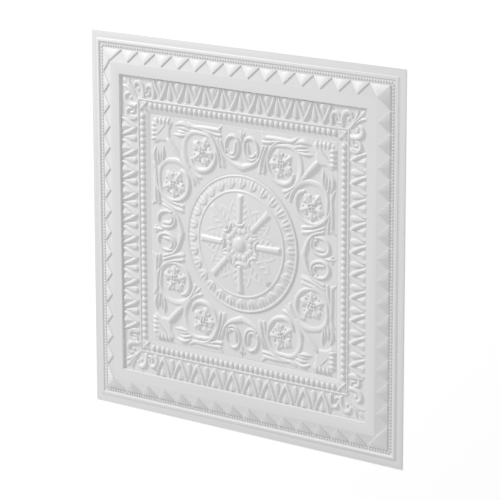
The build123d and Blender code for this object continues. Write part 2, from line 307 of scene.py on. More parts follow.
@dataclass
class LeafBandRelief:
    """The band of V leaves with darts and tongues, and the scrolls in its corners."""

    pitch: float = 34.83
    straight: float = 174.15
    unit: list[Shape] = field(default_factory=list)
    corner: list[Shape] = field(default_factory=list)

    def __post_init__(self) -> None:
        """Lay out one repeat of the band, and one corner."""
        half = self.pitch / 2
        self.unit = [
            Rib([(0.0, 207.6, 3.6, 3.0), (3.2, 213.0, 4.2, 3.5), (7.6, 221.0, 4.0, 3.4),
                 (11.2, 229.0, 3.2, 3.1), (12.8, 234.5, 2.6, 2.6)]),
            Rib([(0.0, 217.0, 0.8, 0.6), (0.0, 224.0, 3.8, 2.2), (0.0, 231.0, 7.4, 3.2),
                 (0.0, 233.5, 7.2, 3.0)], Crown.ROOF),
            Rib([(half, 211.0, 5.0, 2.6), (half, 217.0, 5.0, 2.5), (half, 223.0, 3.8, 1.8),
                 (half, 229.0, 2.6, 0.9)], Crown.FLAT),
            Rib([(half, 209.5, 1.7, 3.3), (half, 218.0, 1.5, 3.0), (half, 226.0, 1.2, 2.0),
                 (half, 232.0, 1.0, 1.2)]),
        ]
        self.corner = self.large_hook() + self.small_hook() + self.calyx()

    def large_hook(self) -> list[Shape]:
        """The large scroll beside the corner's diagonal.

        Returns:
            Its shapes.
        """
        return [
            Rib([(192.0, 204.0, 3.8, 4.6, 2.6), (190.6, 213.0, 3.8, 6.0, 3.1), (192.0, 221.5, 4.0, 6.4, 3.2),
                 (196.0, 227.5, 4.2, 6.4, 3.2), (202.0, 229.6, 4.2, 6.0, 3.1), (207.6, 227.0, 3.8, 4.4, 2.8),
                 (209.4, 222.0, 3.0, 3.4, 2.2)]),
            Dome(202.6, 218.0, 3.4, 1.8),
        ]

    def small_hook(self) -> list[Shape]:
        """The small scroll that ends the row of leaves, with its inner curl.

        Returns:
            Its shapes.
        """
        return [
            Rib([(173.0, 204.5, 3.0, 4.6, 2.4), (169.8, 212.0, 3.2, 5.2, 2.9), (170.6, 220.0, 3.2, 5.2, 3.0),
                 (175.4, 225.2, 3.2, 5.0, 3.0), (181.2, 225.6, 3.2, 4.6, 2.8), (185.6, 222.0, 2.8, 4.0, 2.6),
                 (187.2, 215.0, 2.2, 3.0, 2.0)]),
            Rib([(179.6, 218.0, 2.0, 1.6), (179.8, 212.8, 2.2, 2.2), (184.0, 209.8, 2.2, 2.2),
                 (188.4, 210.6, 1.8, 1.6)]),
        ]

    def calyx(self) -> list[Shape]:
        """The rib on the diagonal and the open leaves at its end.

        Returns:
            Its shapes.
        """
        return [
            Rib([(204.5, 204.5, 1.6, 2.0), (213.0, 213.0, 3.6, 3.0), (223.0, 223.0, 4.0, 3.0)], Crown.ROOF),
            Rib([(210.0, 214.0, 1.6, 1.8), (216.0, 220.5, 3.0, 2.8), (219.6, 227.0, 3.0, 2.8),
                 (220.8, 233.6, 1.6, 1.8)], Crown.ROOF),
            leaf((223.0, 223.0), (233.5, 233.5), 4.6, 2.4, crown=Crown.ROOF),
        ]

    def ground(self, r: np.ndarray) -> np.ndarray:
        """The band's ground, which dips behind the rail."""
        s = STEPS
        return np.interp(r, (s.band_in, 207.0, s.band_out), (s.band_height, 4.1, s.band_height))

    def over(self, u: np.ndarray, r: np.ndarray) -> np.ndarray:
        """Height of the band's front.

        Args:
            u: Distance along the side from its middle, the smaller coordinate.
            r: Distance across the side from the tile's middle, the larger one.

        Returns:
            The height at each place.
        """
        place = np.abs(np.mod(u, self.pitch) - self.pitch / 2)
        straight = np.where(u < self.straight, highest(self.unit, place, r), 0.0)
        rise = np.maximum(straight, highest(self.corner, u, r))
        clear = np.clip((r - STEPS.band_in) / 2.2, 0.0, 1.0) * np.clip((STEPS.band_out - r) / 1.4, 0.0, 1.0)
        return self.ground(r) + rise * clear


@dataclass
class FieldRelief:
    """The scrollwork of the field, drawn for the eighth of it where y is over x."""

    shapes: list[Shape] = field(default_factory=list)

    def __post_init__(self) -> None:
        """Lay out the scroll, its rosette, the stems and the leaves."""
        self.shapes = self.scroll() + self.rosette() + self.volute() + self.cradle()
        self.shapes += self.edge_leaves() + self.fan()

    def scroll(self) -> list[Shape]:
        """The large round scroll, full on its outer side and narrow beside the stems.

        Returns:
            Its shapes.
        """
        turns = (
            (-50, 37.0, 5.4, 4.6, 3.2), (-34, 36.8, 8.0, 5.0, 3.3), (-18, 35.4, 8.6, 4.4, 2.6),
            (0, 34.4, 8.0, 3.6, 1.9), (25, 34.6, 7.4, 3.4, 1.7), (50, 33.8, 6.4, 3.4, 1.9),
            (72, 30.8, 5.2, 3.6, 2.2), (90, 28.6, 4.6, 3.6, 2.3), (108, 29.4, 4.2, 3.4, 2.2),
            (130, 31.0, 4.0, 3.4, 2.3), (155, 30.6, 4.0, 3.4, 2.5), (180, 30.0, 4.0, 3.6, 2.6),
            (210, 30.2, 4.6, 4.0, 2.7), (240, 30.6, 5.4, 4.4, 3.0), (270, 30.4, 6.0, 4.6, 3.2),
            (292, 29.4, 5.6, 4.4, 3.1), (308, 27.0, 4.8, 4.2, 2.9), (322, 23.6, 3.2, 3.2, 2.4))
        cx, cy = 80.0, 134.0
        return [Rib([(*around(cx, cy, radius, math.radians(angle)), inner, outer, rise)
                     for angle, radius, inner, outer, rise in turns])]

    def rosette(self) -> list[Shape]:
        """The five ridged petals inside the scroll, with their small lobes and seeds.

        Returns:
            Its shapes.
        """
        cx, cy = 76.0, 133.8
        petals = []
        for k in range(5):
            angle = math.radians(180 + 72 * k)
            marks = ((4.0, 3.0, 2.0), (13.0, 7.6, 3.4), (18.0, 6.0, 3.2), (23.0, 1.6, 1.4))
            ridge = [(*around(cx, cy, d, angle), half, rise) for d, half, rise in marks]
            petals.append(Rib(ridge, Crown.ROOF))
            for turn, far in ((-0.42, 15.5), (0.36, 17.0), (0.08, 11.0)):
                petals.append(Dome(*around(cx, cy, far, angle + turn), 2.4, 2.8))
        seeds = []
        for k in range(9):
            angle = math.radians(40 * k + 11)
            reach = 7.2 if k % 2 else 5.0
            rise = 3.6 if k % 3 else 4.2
            seeds.append(Dome(*around(cx, cy, reach, angle), 2.0, rise))
        return petals + seeds + [Dome(cx, cy, 2.6, 3.9)]

    def volute(self) -> list[Shape]:
        """The small side scroll beside the middle line, with its curl and finial.

        Returns:
            Its shapes.
        """
        return [
            Rib([(30.0, 140.0, 3.0, 3.0, 2.4), (31.2, 148.0, 3.6, 3.0, 2.7), (29.6, 157.0, 3.6, 3.2, 2.8),
                 (24.0, 164.0, 3.6, 3.4, 2.9), (16.0, 166.4, 3.6, 3.6, 3.0), (9.0, 163.4, 3.6, 3.4, 2.9),
                 (5.4, 156.0, 3.4, 3.2, 2.8), (5.6, 146.0, 3.4, 3.2, 2.8), (8.8, 138.0, 3.4, 3.4, 2.8),
                 (14.0, 133.2, 3.4, 3.4, 2.8), (21.0, 132.4, 3.4, 3.0, 2.6), (27.0, 135.4, 3.0, 2.6, 2.2)]),
            Rib([(11.6, 156.6, 2.6, 1.8), (12.4, 150.0, 3.6, 2.6), (12.8, 143.0, 3.6, 2.8),
                 (16.4, 138.2, 3.2, 2.8), (23.0, 138.6, 2.8, 2.6), (27.2, 144.0, 2.2, 2.0)]),
            leaf((0.0, 158.0), (0.0, 178.0), 4.4, 2.8, crown=Crown.ROOF),
            leaf((3.0, 168.0), (5.6, 174.5), 2.2, 1.8),
        ]

    def cradle(self) -> list[Shape]:
        """The V leaf over the medallion and the two stems that rise from its ends.

        Returns:
            Its shapes.
        """
        return [
            Rib([(0.0, 118.2, 8.0, 6.4, 3.0), (8.0, 120.8, 6.6, 5.6, 3.1), (18.0, 124.4, 4.8, 4.8, 3.0),
                 (27.0, 129.4, 4.0, 4.2, 2.8), (34.0, 136.4, 3.6, 3.6, 2.6), (38.0, 146.0, 3.0, 3.0, 2.6),
                 (41.0, 156.0, 2.6, 2.6, 2.2)]),
            Rib([(35.6, 117.6, 6.0, 4.6, 2.4), (36.6, 125.0, 5.6, 4.0, 3.0), (39.0, 135.0, 4.4, 3.0, 3.2),
                 (43.0, 146.0, 3.6, 2.6, 3.0), (47.6, 157.0, 2.4, 2.2, 2.4)], Crown.ROOF),
            Rib([(42.4, 116.8, 3.6, 4.4, 2.2), (44.6, 126.0, 3.0, 3.4, 2.8), (46.4, 136.0, 2.8, 2.8, 3.0),
                 (50.6, 147.0, 2.8, 2.8, 3.0), (57.4, 157.6, 2.8, 3.0, 2.9), (66.0, 165.0, 2.8, 3.0, 2.8),
                 (75.0, 168.6, 2.6, 2.8, 2.4), (85.0, 168.6, 2.0, 2.4, 1.6)]),
        ]

    def edge_leaves(self) -> list[Shape]:
        """The long leaf along the field's edge and the lobes beyond its tip.

        Returns:
            Its shapes.
        """
        return [
            Rib([(39.4, 178.0, 2.0, 1.2), (42.0, 174.6, 2.6, 1.8), (46.0, 172.0, 2.8, 2.0)]),
            Rib([(43.0, 170.6, 3.8, 3.4, 2.0), (52.0, 171.0, 4.4, 3.4, 2.4), (64.0, 171.2, 4.6, 3.4, 2.4),
                 (80.0, 170.8, 4.4, 3.4, 2.3), (92.0, 170.2, 4.2, 3.6, 2.2), (100.0, 172.6, 3.8, 3.4, 2.2),
                 (104.6, 175.6, 2.8, 2.4, 1.5)]),
            Rib([(41.0, 163.6, 2.9, 2.4), (52.0, 164.4, 3.0, 2.7), (62.0, 166.6, 2.6, 2.6),
                 (71.0, 168.6, 2.0, 2.0)]),
            leaf((103.0, 169.0), (132.0, 169.0), 4.6, 3.0, 4.0),
            leaf((101.0, 162.5), (126.0, 165.5), 3.6, 2.7, 1.6),
            leaf((104.0, 158.0), (129.0, 160.0), 2.6, 2.2, 0.6),
            leaf((108.0, 156.0), (135.5, 154.8), 3.8, 2.8, -0.8),
        ]

    def fan(self) -> list[Shape]:
        """The diagonal stem, its calyx and bud, and the fan plate in the field's corner.

        Returns:
            Its shapes.
        """
        fingers = [leaf((x0, 166.0), (x1, 179.6), 4.2, 3.6) for x0, x1 in
                   ((145.0, 142.5), (151.5, 150.5), (158.5, 158.5), (165.5, 166.5))]
        return fingers + [
            Rib([(104.0, 104.0, 5.6, 3.0), (112.0, 112.0, 6.0, 3.0), (122.0, 122.0, 6.0, 2.8)]),
            Rib([(124.0, 124.0, 5.4, 3.4), (132.0, 132.0, 6.2, 4.2), (141.5, 141.5, 6.4, 4.2),
                 (144.5, 144.5, 5.8, 3.4)]),
            Rib([(80.6, 92.6, 3.8, 2.2), (88.0, 94.6, 4.2, 3.0), (97.0, 100.0, 4.2, 3.2),
                 (105.6, 107.4, 3.6, 3.2)], Crown.ROOF),
            leaf((100.0, 100.0), (82.0, 82.0), 4.8, 2.8, crown=Crown.ROOF),
            Plate([(136.0, 136.0), (139.4, 147.0), (139.6, 160.0), (134.0, 171.0), (137.0, 176.0),
                   (158.0, 179.0), (176.0, 176.0), (179.0, 158.0), (176.0, 137.0), (171.0, 134.0),
                   (160.0, 139.6), (147.0, 139.4)], 4.6, 2.0),
            Rib([(150.5, 166.5, 1.3, 3.1), (158.5, 158.5, 1.3, 3.2)]),
        ]

    def over(self, x: np.ndarray, y: np.ndarray) -> np.ndarray:
        """Rise above the field's ground at each place, folded into one eighth."""
        fx, fy = np.abs(x), np.abs(y)
        return highest(self.shapes, np.minimum(fx, fy), np.maximum(fx, fy))


@dataclass
class MedallionRelief:
    """The round medallion: its rings, leaf ring, dome, star and boss."""

    leaf_count: int = 28
    arm_count: int = 8
    line: tuple[tuple[float, float], ...] = (
        (0.0, 12.7), (2.5, 12.65), (5.5, 12.2), (8.5, 11.2), (10.4, 9.8), (11.5, 8.7), (14.0, 8.3),
        (34.0, 7.9), (78.0, 5.6), (80.4, 5.4), (81.4, 6.3), (82.3, 6.6), (83.2, 6.3), (84.4, 4.9),
        (92.0, 4.1), (102.4, 2.6), (103.6, 3.0), (104.6, 4.0), (105.5, 4.3), (106.4, 4.0),
        (107.4, 2.6), (108.0, 2.0))

    def ground(self, r: np.ndarray) -> np.ndarray:
        """The plain turned face of the medallion at each radius."""
        radii, heights = zip(*self.line)
        return np.interp(r, radii, heights)

    def over(self, r: np.ndarray, turn: np.ndarray) -> np.ndarray:
        """Height of the medallion's front.

        Args:
            r: Distance from the middle.
            turn: Angle from +Y, in radians.

        Returns:
            The height at each place.
        """
        z = self.ground(r)
        sector = 2 * math.pi / self.leaf_count
        off = np.abs(np.mod(turn + sector / 2, sector) - sector / 2)
        lobe = highest(self.ring_leaf(), off * r, r)
        z = z + np.where((r > 83.0) & (r < 103.5), lobe, 0.0)
        sector = 2 * math.pi / self.arm_count
        off = np.abs(np.mod(turn + sector / 2, sector) - sector / 2)
        along, across = r * np.cos(off), r * np.sin(off)
        clear = np.clip((r - 11.6) / 2.0, 0.0, 1.0) * np.clip((79.5 - r) / 2.0, 0.0, 1.0)
        return z + clear * highest(self.star() + self.flower(), across, along)

    def ring_leaf(self) -> list[Shape]:
        """Half of one leaf of the ring: a scale with a middle and a side vein.

        Returns:
            Its shapes.
        """
        return [
            Scale(),
            Rib([(0.0, 89.0, 2.4, 1.9), (0.0, 95.0, 3.8, 2.7), (0.0, 102.0, 3.0, 1.4)]),
            Rib([(4.8, 91.4, 1.8, 1.8), (6.4, 96.0, 2.2, 2.2), (7.4, 101.6, 2.0, 1.2)]),
        ]

    def star(self) -> list[Shape]:
        """Half of one blunt arm of the star with the faint leaf about it, along +Y.

        Returns:
            Its shapes.
        """
        places = ((40.0, 13.0, 7.0, 0.7), (48.5, 12.0, 9.0, 0.8), (59.0, 8.5, 6.5, 0.6))
        lobes = [leaf((3.0, start), (3.0 + reach, start + lift), 2.8, rise, -0.8)
                 for start, reach, lift, rise in places]
        vein = Rib([(19.6, 46.0, 2.4, 0.35), (17.4, 57.0, 3.0, 0.65), (12.2, 66.0, 2.2, 0.45)])
        return lobes + [vein, Plate([(-6.4, 30.5), (6.4, 30.5), (6.9, 79.0), (-6.9, 79.0)], 5.2, 2.9)]

    def flower(self) -> list[Shape]:
        """Half of the cap at an arm's root, and the small petals round the boss.

        Returns:
            Its shapes.
        """
        return [
            Rib([(0.0, 29.6, 3.2, 2.8, 3.0), (5.6, 31.0, 3.2, 2.8, 2.5), (9.6, 34.4, 2.8, 2.6, 1.3)]),
            Dome(0.0, 20.0, 4.6, 1.7),
            Dome(8.6, 20.8, 4.8, 1.9),
            leaf((10.6, 25.6), (14.6, 35.2), 3.4, 1.2),
        ]


@dataclass
class TileSurface:
    """The height of the tile's front anywhere inside the plain frame."""

    band: LeafBandRelief = field(default_factory=LeafBandRelief)
    scrolls: FieldRelief = field(default_factory=FieldRelief)
    medallion: MedallionRelief = field(default_factory=MedallionRelief)

    def band_height(self, x: np.ndarray, y: np.ndarray) -> np.ndarray:
        """Height of the leaf band's front."""
        fx, fy = np.abs(x), np.abs(y)
        return self.band.over(np.minimum(fx, fy), np.maximum(fx, fy))

    def field_height(self, x: np.ndarray, y: np.ndarray) -> np.ndarray:
        """Height of the field's front, clear of the medallion and of the field's edge.

        Args:
            x: Places along X.
            y: Places along Y.

        Returns:
            The height at each place.
        """
        rise = self.scrolls.over(x, y)
        clear = np.clip((np.hypot(x, y) - STEPS.medallion) / 2.5, 0.0, 1.0)
        inside = np.clip((STEPS.field_half - np.maximum(np.abs(x), np.abs(y))) / 1.6, 0.0, 1.0)
        return STEPS.field_height + rise * clear * inside

    def medallion_height(self, x: np.ndarray, y: np.ndarray) -> np.ndarray:
        """Height of the medallion's front."""
        return self.medallion.over(np.hypot(x, y), np.arctan2(x, y))


@dataclass(frozen=True)
class PvcFinish:
    """White formed PVC sheet: matte, a little uneven in tone, with a very fine grain."""

    name: str = "white_pvc_sheet"
    shade: tuple[float, float, float] = (0.735, 0.735, 0.738)
    thin_shade: tuple[float, float, float] = (0.715, 0.715, 0.720)
    roughness: float = 0.46
    grain_scale: float = 1400.0
    grain_depth: float = 0.00004
    drift_scale: float = 9.0

    def make(self) -> bpy.types.Material:
        """Build the material from noise on Object coordinates.

        Returns:
            The material.
        """
        material = bpy.data.materials.new(self.name)
        material.use_nodes = True
        nodes, links = material.node_tree.nodes, material.node_tree.links
        shader = nodes["Principled BSDF"]
        shader.inputs["IOR"].default_value = 1.53
        place = nodes.new("ShaderNodeTexCoord")
        drift = nodes.new("ShaderNodeTexNoise")
        drift.inputs["Scale"].default_value = self.drift_scale
        drift.inputs["Detail"].default_value = 3.0
        links.new(place.outputs["Object"], drift.inputs["Vector"])
        tone = nodes.new("ShaderNodeMix")
        tone.data_type = "RGBA"
        tone.inputs["A"].default_value = (*self.thin_shade, 1.0)
        tone.inputs["B"].default_value = (*self.shade, 1.0)
        links.new(drift.outputs["Fac"], tone.inputs["Factor"])
        links.new(tone.outputs["Result"], shader.inputs["Base Color"])
        gloss = nodes.new("ShaderNodeMapRange")
        gloss.inputs["To Min"].default_value = self.roughness - 0.05
        gloss.inputs["To Max"].default_value = self.roughness + 0.07
        links.new(drift.outputs["Fac"], gloss.inputs["Value"])
        links.new(gloss.outputs["Result"], shader.inputs["Roughness"])
        grain = nodes.new("ShaderNodeTexNoise")
        grain.inputs["Scale"].default_value = self.grain_scale
        grain.inputs["Detail"].default_value = 2.0
        links.new(place.outputs["Object"], grain.inputs["Vector"])
        bump = nodes.new("ShaderNodeBump")
        bump.inputs["Distance"].default_value = self.grain_depth
        bump.inputs["Strength"].default_value = 0.5
        links.new(grain.outputs["Fac"], bump.inputs["Height"])
        links.new(bump.outputs["Normal"], shader.inputs["Normal"])
        return material


def settle(name: str, work: Work, material: bpy.types.Material,
           sharp: float | None = 40.0) -> bpy.types.Object:
    """Turn finished mesh work in millimetres into a piece that rides on the tile.

    Args:
        name: Name of the piece.
        work: The mesh, which is freed.
        material: Its finish.
        sharp: Edges bent by more than this many degrees stay sharp; None for none.

    Returns:
        The new object.
    """
    bmesh.ops.scale(work, vec=(MM, MM, MM), verts=work.verts)
    mesh = bpy.data.meshes.new(name)
    work.to_mesh(mesh)
    work.free()
    mesh.materials.append(material)
    mesh.shade_smooth()
    if sharp is not None:
        mesh.set_sharp_from_angle(angle=math.radians(sharp))
    piece = bpy.data.objects.new(name, mesh)
    bpy.context.scene.collection.objects.link(piece)
    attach(piece, BODY)
    log.info("%s: %d faces", name, len(mesh.polygons))
    return piece


def below_line(points: Line, distance: float) -> Line:
    """The line that runs a distance under a profile, square to each of its pieces.

    Args:
        points: The profile, from the middle outward, as (distance, height).
        distance: How far below it the new line lies.

    Returns:
        The new line, in the same order.
    """
    out = []
    for i, (r, z) in enumerate(points):
        before = points[max(i - 1, 0)]
        after = points[min(i + 1, len(points) - 1)]
        first = Vector((r - before[0], z - before[1])) if i else Vector((1, 0))
        second = Vector((after[0] - r, after[1] - z)) if i < len(points) - 1 else Vector((1, 0))
        a = Vector((first.y, -first.x)).normalized()
        b = Vector((second.y, -second.x)).normalized()
        miter = (a + b).normalized()
        move = miter * (distance / max(miter.dot(a), 0.35))
        out.append((r + move.x, z + move.y))
    return out


@dataclass
class Moulding:
    """A square moulding, mitred at the tile's four corners."""

    name: str
    front: Line
    soften: float = 0.35

    def build(self, material: bpy.types.Material) -> bpy.types.Object:
        """Spin the section a quarter turn at a time, from its place on the diagonal.

        Args:
            material: The finish of the sheet.

        Returns:
            The finished piece.
        """
        work = bmesh.new()
        back = below_line(self.front, STEPS.sheet)
        back[0] = (self.front[0][0], back[0][1])
        back[-1] = (self.front[-1][0], back[-1][1])
        loop = self.front + back[::-1]
        verts = [work.verts.new((r, r, z)) for r, z in loop]
        edges = [work.edges.new((a, b)) for a, b in zip(verts, verts[1:] + verts[:1])]
        bmesh.ops.spin(work, geom=verts + edges, cent=(0, 0, 0), axis=(0, 0, 1), dvec=(0, 0, 0),
                       angle=2 * math.pi, steps=4, use_merge=True, use_duplicate=False)
        bmesh.ops.remove_doubles(work, verts=work.verts, dist=0.001)
        bmesh.ops.recalc_face_normals(work, faces=work.faces)
        bends = [e for e in work.edges if len(e.link_faces) == 2
                 and abs(e.verts[0].co.z - e.verts[1].co.z) < 1e-4
                 and e.calc_face_angle(0.0) > math.radians(12)]
        bmesh.ops.bevel(work, geom=bends, offset=self.soften, offset_type="OFFSET", segments=2,
                        profile=0.5, affect="EDGES", material=-1, clamp_overlap=True)
        return settle(self.name, work, material, 50.0)


def outer_line() -> Line:
    """The front of the frame from the leaf band out to the tile's edge.

    Returns:
        The profile, as (distance from the middle, height).
    """
    s = STEPS
    return [
        (s.band_out, s.band_height), (s.plain_in, s.plain_height), (s.plain_out, s.plain_height),
        (s.groove_in, s.groove_height), (s.groove_out, s.groove_height),
        (284.4, 2.4), (285.1, 3.1), (286.2, 3.2), (287.6, 2.9), (289.0, 2.2), (290.0, 1.3),
        (s.ovolo_out, s.sheet), (s.half_side, s.sheet),
    ]


def inner_line() -> Line:
    """The front of the rail, the bead channel and the ramp down to the field.

    Returns:
        The profile, as (distance from the middle, height).
    """
    s = STEPS
    return [
        (s.field_half, s.field_height), (s.channel_in, s.channel_height),
        (s.channel_out, s.channel_height), (201.3, 5.9), (202.0, s.rail_height),
        (202.8, s.rail_height), (203.5, 5.9),
        (s.band_in, s.band_height),
    ]


@dataclass
class Skin:
    """A patch of the formed sheet: a fine grid for its front and a coarser one behind."""

    cell: float = 0.8

    def lattice(self, x0: float, x1: float, y0: float, y1: float, cell: float) -> Work:
        """A flat grid over a rectangle.

        Args:
            x0: Lowest X.
            x1: Highest X.
            y0: Lowest Y.
            y1: Highest Y.
            cell: Wanted size of a cell.

        Returns:
            The grid as mesh work.
        """
        work = bmesh.new()
        bmesh.ops.create_grid(work, x_segments=max(1, round((x1 - x0) / cell)),
                              y_segments=max(1, round((y1 - y0) / cell)), size=1.0)
        middle = Matrix.Translation(((x0 + x1) / 2, (y0 + y1) / 2, 0))
        spread = Matrix.Diagonal(((x1 - x0) / 2, (y1 - y0) / 2, 1, 1))
        bmesh.ops.transform(work, verts=work.verts, matrix=middle @ spread)
        return work

    def raise_front(self, work: Work, height: Height) -> None:
        """Move every point of a flat grid up to the front of the tile.

        Args:
            work: The grid.
            height: Gives the front's height at each place.
        """
        x = np.array([v.co.x for v in work.verts])
        y = np.array([v.co.y for v in work.verts])
        for vert, z in zip(work.verts, height(x, y)):
            vert.co.z = z

    def lower_back(self, work: Work, height: Height, reach: float) -> None:
        """Move every point of a flat grid to the back, under the lowest front near it.

        Args:
            work: The grid, whose faces are turned to look down.
            height: Gives the front's height at each place.
            reach: How far round a point the lowest front is looked for.
        """
        x = np.array([v.co.x for v in work.verts])
        y = np.array([v.co.y for v in work.verts])
        low = height(x, y)
        for k in range(8):
            angle = k * math.pi / 4
            low = np.minimum(low, height(x + reach * math.cos(angle), y + reach * math.sin(angle)))
        for vert, z in zip(work.verts, low):
            vert.co.z = z - STEPS.sheet
        bmesh.ops.reverse_faces(work, faces=work.faces)

    def join(self, front: Work, back: Work) -> Work:
        """Put the back into the front's mesh work and close the sheet's edge between them.

        Args:
            front: The front's mesh work.
            back: The back's mesh work, which is freed.

        Returns:
            The closed sheet.
        """
        mesh = bpy.data.meshes.new("back")
        back.to_mesh(mesh)
        back.free()
        front.from_mesh(mesh)
        bpy.data.meshes.remove(mesh)
        rims = [e for e in front.edges if e.is_boundary]
        bmesh.ops.bridge_loops(front, edges=rims)
        bmesh.ops.recalc_face_normals(front, faces=front.faces)
        return front


@dataclass
class LeafBand(Skin):
    """One side of the leaf band with the corner at its end."""

    side: int = 0
    surface: TileSurface = field(default_factory=TileSurface)

    def build(self, material: bpy.types.Material) -> bpy.types.Object:
        """Make the side along +Y and its corner, then turn it to its side of the tile.

        Args:
            material: The finish of the sheet.

        Returns:
            The finished piece.
        """
        near, far = STEPS.band_in, STEPS.band_out
        front = self.lattice(-near, far, near, far, self.cell)
        self.raise_front(front, self.surface.band_height)
        back = self.lattice(-near, far, near, far, 2 * self.cell)
        self.lower_back(back, self.surface.band_height, self.cell)
        work = self.join(front, back)
        turn = Matrix.Rotation(self.side * math.pi / 2, 4, "Z")
        bmesh.ops.transform(work, matrix=turn, verts=work.verts)
        return settle(f"leaf_band_{self.side}", work, material, None)


@dataclass
class FieldQuarter(Skin):
    """A quarter of the field, with its inner edge on the medallion's rim."""

    quarter: int = 0
    surface: TileSurface = field(default_factory=TileSurface)

    def cut_round(self, work: Work, cell: float) -> None:
        """Take out the part under the medallion and draw the cut edge to its rim.

        Args:
            work: The flat grid of the quarter.
            cell: Size of its cells.
        """
        rim = STEPS.medallion
        inner = [f for f in work.faces if f.calc_center_median().xy.length < rim]
        bmesh.ops.delete(work, geom=inner, context="FACES")
        for vert in work.verts:
            if vert.is_boundary and vert.co.xy.length < rim + 1.5 * cell:
                vert.co.xy = vert.co.xy.normalized() * rim

    def build(self, material: bpy.types.Material) -> bpy.types.Object:
        """Make the quarter where x and y are positive, then turn it to its place.

        Args:
            material: The finish of the sheet.

        Returns:
            The finished piece.
        """
        half = STEPS.field_half
        front = self.lattice(0, half, 0, half, self.cell)
        self.cut_round(front, self.cell)
        self.raise_front(front, self.surface.field_height)
        back = self.lattice(0, half, 0, half, 2 * self.cell)
        self.cut_round(back, 2 * self.cell)
        self.lower_back(back, self.surface.field_height, self.cell)
        work = self.join(front, back)
        turn = Matrix.Rotation(self.quarter * math.pi / 2, 4, "Z")
        bmesh.ops.transform(work, matrix=turn, verts=work.verts)
        return settle(f"field_{self.quarter}", work, material, None)


@dataclass
class Medallion(Skin):
    """The round middle of the tile."""

    cell: float = 0.8
    surface: TileSurface = field(default_factory=TileSurface)

    def disc(self, cell: float, steps: int) -> Work:
        """A flat disc of rings, spun from a line of points.

        Args:
            cell: Distance from one ring to the next.
            steps: Number of parts in a ring.

        Returns:
            The disc as mesh work.
        """
        work = bmesh.new()
        count = round(STEPS.medallion / cell)
        verts = [work.verts.new((0, STEPS.medallion * i / count, 0)) for i in range(1, count + 1)]
        edges = [work.edges.new(pair) for pair in zip(verts, verts[1:])]
        bmesh.ops.spin(work, geom=verts + edges, cent=(0, 0, 0), axis=(0, 0, 1), dvec=(0, 0, 0),
                       angle=2 * math.pi, steps=steps, use_merge=True, use_duplicate=False)
        bmesh.ops.remove_doubles(work, verts=work.verts, dist=0.0005)
        rim = [e for e in work.edges if e.is_boundary and e.verts[0].co.length < 2 * cell]
        bmesh.ops.contextual_create(work, geom=rim)
        for face in work.faces:
            face.normal_update()
            if face.normal.z < 0:
                face.normal_flip()
        return work

    def build(self, material: bpy.types.Material) -> bpy.types.Object:
        """Make the medallion's front and back.

        Args:
            material: The finish of the sheet.

        Returns:
            The finished piece.
        """
        front = self.disc(self.cell, 480)
        self.raise_front(front, self.surface.medallion_height)
        back = self.disc(2 * self.cell, 240)
        self.lower_back(back, self.surface.medallion_height, self.cell)
        return settle("medallion", self.join(front, back), material, None)


def copied(work: Work, source: list[Element], matrix: Matrix) -> None:
    """Add a copy of some faces, moved by a matrix.

    Args:
        work: The mesh work that holds them.
        source: The faces with their edges and points.
        matrix: Where the copy goes.
    """
    made = bmesh.ops.duplicate(work, geom=source)["geom"]
    verts = [g for g in made if isinstance(g, bmesh.types.BMVert)]
    bmesh.ops.transform(work, matrix=matrix, verts=verts)


@dataclass
class BeadRow:
    """A row of oval domed beads along all four sides of the tile."""

    name: str
    distance: float
    along_radius: float
    across_radius: float
    rise: float
    ground: float
    reach: float
    count: int
    around: int = 12

    def build(self, material: bpy.types.Material) -> bpy.types.Object:
        """Make one bead, repeat it along a side, and the side round the tile.

        Args:
            material: The finish of the sheet.

        Returns:
            The finished piece.
        """
        work = bmesh.new()
        bmesh.ops.create_uvsphere(work, u_segments=self.around, v_segments=self.around // 2, radius=1.0)
        bmesh.ops.bisect_plane(work, geom=work.verts[:] + work.edges[:] + work.faces[:],
                               plane_co=(0, 0, -0.15), plane_no=(0, 0, -1), clear_outer=True)
        bmesh.ops.holes_fill(work, edges=[e for e in work.edges if e.is_boundary])
        bmesh.ops.scale(work, vec=(self.along_radius, self.across_radius, self.rise), verts=work.verts)
        bmesh.ops.translate(work, vec=(0, 0, self.ground), verts=work.verts)
        bead = work.verts[:] + work.edges[:] + work.faces[:]
        for k in range(self.count):
            along = -self.reach + 2 * self.reach * k / (self.count - 1)
            for side in range(4):
                turn = Matrix.Rotation(side * math.pi / 2, 4, "Z")
                copied(work, bead, turn @ Matrix.Translation((along, self.distance, 0)))
        bmesh.ops.delete(work, geom=[g for g in bead if isinstance(g, bmesh.types.BMVert)], context="VERTS")
        return settle(self.name, work, material, None)


